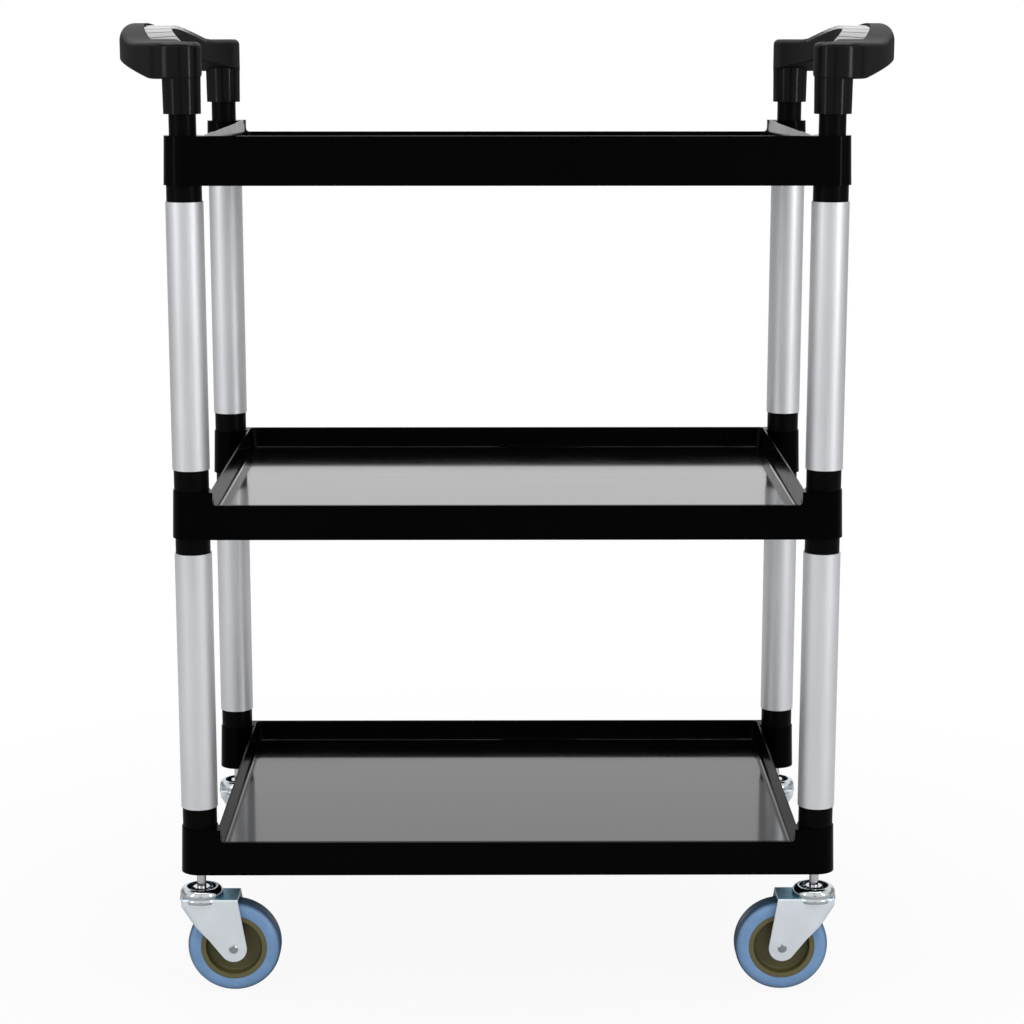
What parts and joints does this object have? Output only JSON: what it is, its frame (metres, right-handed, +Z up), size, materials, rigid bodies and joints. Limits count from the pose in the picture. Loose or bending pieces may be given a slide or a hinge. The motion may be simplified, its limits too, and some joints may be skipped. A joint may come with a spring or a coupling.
{
  "type": "service trolley",
  "caption": "Three-tier food service trolley: moulded plastic trays on four tubular posts, arched push handles at both ends and swivel casters.",
  "frame": {"origin": "on the floor under the middle of the trolley", "axes": "+Z up, +X along the trolley towards the right-hand handle, +Y across it, away from the low lips of the two lower trays"},
  "size_m": [0.833, 0.431, 1.0287],
  "materials": {
    "tray_plastic": "smooth moulded, glossy",
    "black_plastic": "moulded, satin",
    "grip_plastic": "ribbed, satin",
    "aluminium_tube": "satin anodised",
    "zinc": "bright zinc plated",
    "steel": "zinc plated",
    "hub_plastic": "moulded, satin",
    "tyre_rubber": "smooth rubber"
  },
  "bodies": {
    "frame": {"bottom_connector_front_left": "black_plastic", "bottom_connector_front_right": "black_plastic", "bottom_connector_rear_left": "black_plastic", "bottom_connector_rear_right": "black_plastic", "caster_stem_front_left": "steel", "caster_stem_front_right": "steel", "caster_stem_rear_left": "steel", "caster_stem_rear_right": "steel", "handle_grip_left": "grip_plastic", "handle_grip_right": "grip_plastic", "handle_left": "black_plastic", "handle_right": "black_plastic", "middle_connector_front_left": "black_plastic", "middle_connector_front_right": "black_plastic", "middle_connector_rear_left": "black_plastic", "middle_connector_rear_right": "black_plastic", "middle_sleeve_front_left": "black_plastic", "middle_sleeve_front_right": "black_plastic", "middle_sleeve_rear_left": "black_plastic", "middle_sleeve_rear_right": "black_plastic", "stem_nuts": "steel", "top_connector_front_left": "black_plastic", "top_connector_front_right": "black_plastic", "top_connector_rear_left": "black_plastic", "top_connector_rear_right": "black_plastic", "tray_bottom": "tray_plastic", "tray_middle": "tray_plastic", "tray_top": "tray_plastic", "tube_lower_front_left": "aluminium_tube", "tube_lower_front_right": "aluminium_tube", "tube_lower_rear_left": "aluminium_tube", "tube_lower_rear_right": "aluminium_tube", "tube_upper_front_left": "aluminium_tube", "tube_upper_front_right": "aluminium_tube", "tube_upper_rear_left": "aluminium_tube", "tube_upper_rear_right": "aluminium_tube"},
    "swivel_front_left": {"swivel_cap_front_left": "zinc", "bearing_balls_front_left": "steel", "fork_front_left": "zinc", "axle_front_left": "steel"},
    "wheel_front_left": {"hub_front_left": "hub_plastic", "tyre_front_left": "tyre_rubber"},
    "swivel_front_right": {"swivel_cap_front_right": "zinc", "bearing_balls_front_right": "steel", "fork_front_right": "zinc", "axle_front_right": "steel"},
    "wheel_front_right": {"hub_front_right": "hub_plastic", "tyre_front_right": "tyre_rubber"},
    "swivel_rear_left": {"swivel_cap_rear_left": "zinc", "bearing_balls_rear_left": "steel", "fork_rear_left": "zinc", "axle_rear_left": "steel"},
    "wheel_rear_left": {"hub_rear_left": "hub_plastic", "tyre_rear_left": "tyre_rubber"},
    "swivel_rear_right": {"swivel_cap_rear_right": "zinc", "bearing_balls_rear_right": "steel", "fork_rear_right": "zinc", "axle_rear_right": "steel"},
    "wheel_rear_right": {"hub_rear_right": "hub_plastic", "tyre_rear_right": "tyre_rubber"}
  },
  "joints": [
    {"name": "swivel_front_left", "type": "hinge", "parent": "frame", "child": "swivel_front_left", "pos_m": [-0.3305, -0.1925, 0.105], "axis": [0, 0, 1], "continuous": true},
    {"name": "spin_front_left", "type": "hinge", "parent": "swivel_front_left", "child": "wheel_front_left", "pos_m": [-0.2957, -0.1925, 0.05], "axis": [0, 1, 0], "continuous": true},
    {"name": "swivel_front_right", "type": "hinge", "parent": "frame", "child": "swivel_front_right", "pos_m": [0.3305, -0.1925, 0.105], "axis": [0, 0, 1], "continuous": true},
    {"name": "spin_front_right", "type": "hinge", "parent": "swivel_front_right", "child": "wheel_front_right", "pos_m": [0.2957, -0.1925, 0.05], "axis": [0, 1, 0], "continuous": true},
    {"name": "swivel_rear_left", "type": "hinge", "parent": "frame", "child": "swivel_rear_left", "pos_m": [-0.3305, 0.1925, 0.105], "axis": [0, 0, 1], "continuous": true},
    {"name": "spin_rear_left", "type": "hinge", "parent": "swivel_rear_left", "child": "wheel_rear_left", "pos_m": [-0.2957, 0.1925, 0.05], "axis": [0, 1, 0], "continuous": true},
    {"name": "swivel_rear_right", "type": "hinge", "parent": "frame", "child": "swivel_rear_right", "pos_m": [0.3305, 0.1925, 0.105], "axis": [0, 0, 1], "continuous": true},
    {"name": "spin_rear_right", "type": "hinge", "parent": "swivel_rear_right", "child": "wheel_rear_right", "pos_m": [0.2957, 0.1925, 0.05], "axis": [0, 1, 0], "continuous": true}
  ]
}
